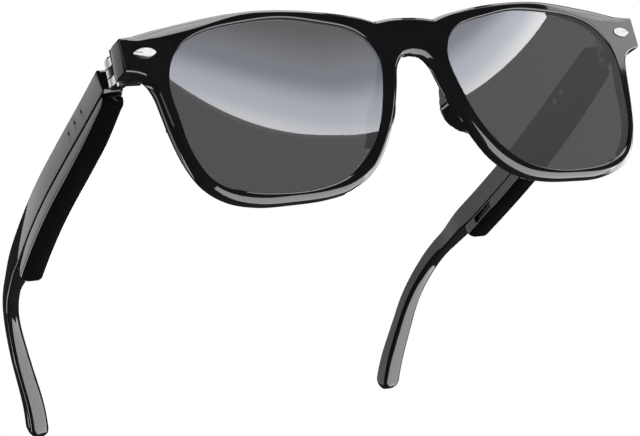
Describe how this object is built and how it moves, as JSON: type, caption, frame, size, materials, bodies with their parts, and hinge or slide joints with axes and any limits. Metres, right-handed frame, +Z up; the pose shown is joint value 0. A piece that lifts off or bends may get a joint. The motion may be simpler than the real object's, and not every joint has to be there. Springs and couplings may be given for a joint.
{
  "type": "smart glasses",
  "caption": "Square-lens sunglasses with folding temples that hold batteries, speakers, microphones and buttons in hollow front halves and end in curved ear arms.",
  "frame": {"origin": "on the surface that the open glasses stand on, under the middle of their bounding box", "axes": "+X the wearer's left, +Y from the lenses to the ear tips, +Z up"},
  "size_m": [0.15, 0.155, 0.0485],
  "materials": {
    "gloss_black": "polished",
    "smoke_lens": "polished smoke grey",
    "bright_chrome": "mirror polished",
    "hinge_steel": "satin",
    "screw_steel": "satin",
    "board_green": "solder mask",
    "dark_plastic": "fine matt",
    "cell_foil": "foil",
    "contact_gold": "plated",
    "light_guide": "clear"
  },
  "bodies": {
    "front": {"front_frame": "gloss_black", "lens_left": "smoke_lens", "lens_right": "smoke_lens", "corner_inlay_left": "bright_chrome", "corner_inlay_right": "bright_chrome", "front_hinge_leaf_left": "hinge_steel", "front_hinge_leaf_right": "hinge_steel", "front_leaf_screw_left": "screw_steel", "front_leaf_screw_right": "screw_steel", "hinge_screw_left": "screw_steel", "hinge_screw_right": "screw_steel"},
    "temple_left": {"temple_hinge_leaf_left": "hinge_steel", "temple_leaf_screw_left": "screw_steel", "temple_shell_left": "gloss_black", "temple_cover_left": "gloss_black", "arm_core_wire_left": "screw_steel", "circuit_board_left": "board_green", "audio_chip_left": "dark_plastic", "battery_left": "cell_foil", "speaker_left": "dark_plastic", "speaker_grille_left": "screw_steel", "button_switch_left": "cell_foil", "microphone_left": "cell_foil", "charge_contact_front_left": "contact_gold", "charge_contact_rear_left": "contact_gold", "status_light_left": "light_guide"},
    "temple_right": {"temple_hinge_leaf_right": "hinge_steel", "temple_leaf_screw_right": "screw_steel", "temple_shell_right": "gloss_black", "temple_cover_right": "gloss_black", "arm_core_wire_right": "screw_steel", "circuit_board_right": "board_green", "audio_chip_right": "dark_plastic", "battery_right": "cell_foil", "speaker_right": "dark_plastic", "speaker_grille_right": "screw_steel", "button_switch_right": "cell_foil", "microphone_right": "cell_foil", "charge_contact_front_right": "contact_gold", "charge_contact_rear_right": "contact_gold", "status_light_right": "light_guide"},
    "button_left": {"button_left": "gloss_black"},
    "button_right": {"button_right": "gloss_black"}
  },
  "joints": [
    {"name": "temple_fold_left", "type": "hinge", "parent": "front", "child": "temple_left", "pos_m": [0.0706, -0.06, 0.04314], "axis": [0, -0.1184, 0.993], "range_deg": [0, 86]},
    {"name": "temple_fold_right", "type": "hinge", "parent": "front", "child": "temple_right", "pos_m": [-0.0706, -0.06, 0.04314], "axis": [0, 0.1184, -0.993], "range_deg": [0, 76]},
    {"name": "button_press_left", "type": "slide", "parent": "temple_left", "child": "button_left", "axis": [0, -0.1097, -0.994], "range_m": [0, 0.0004], "stiffness_N_per_m": 300},
    {"name": "button_press_right", "type": "slide", "parent": "temple_right", "child": "button_right", "axis": [0, -0.1097, -0.994], "range_m": [0, 0.0004], "stiffness_N_per_m": 300}
  ]
}
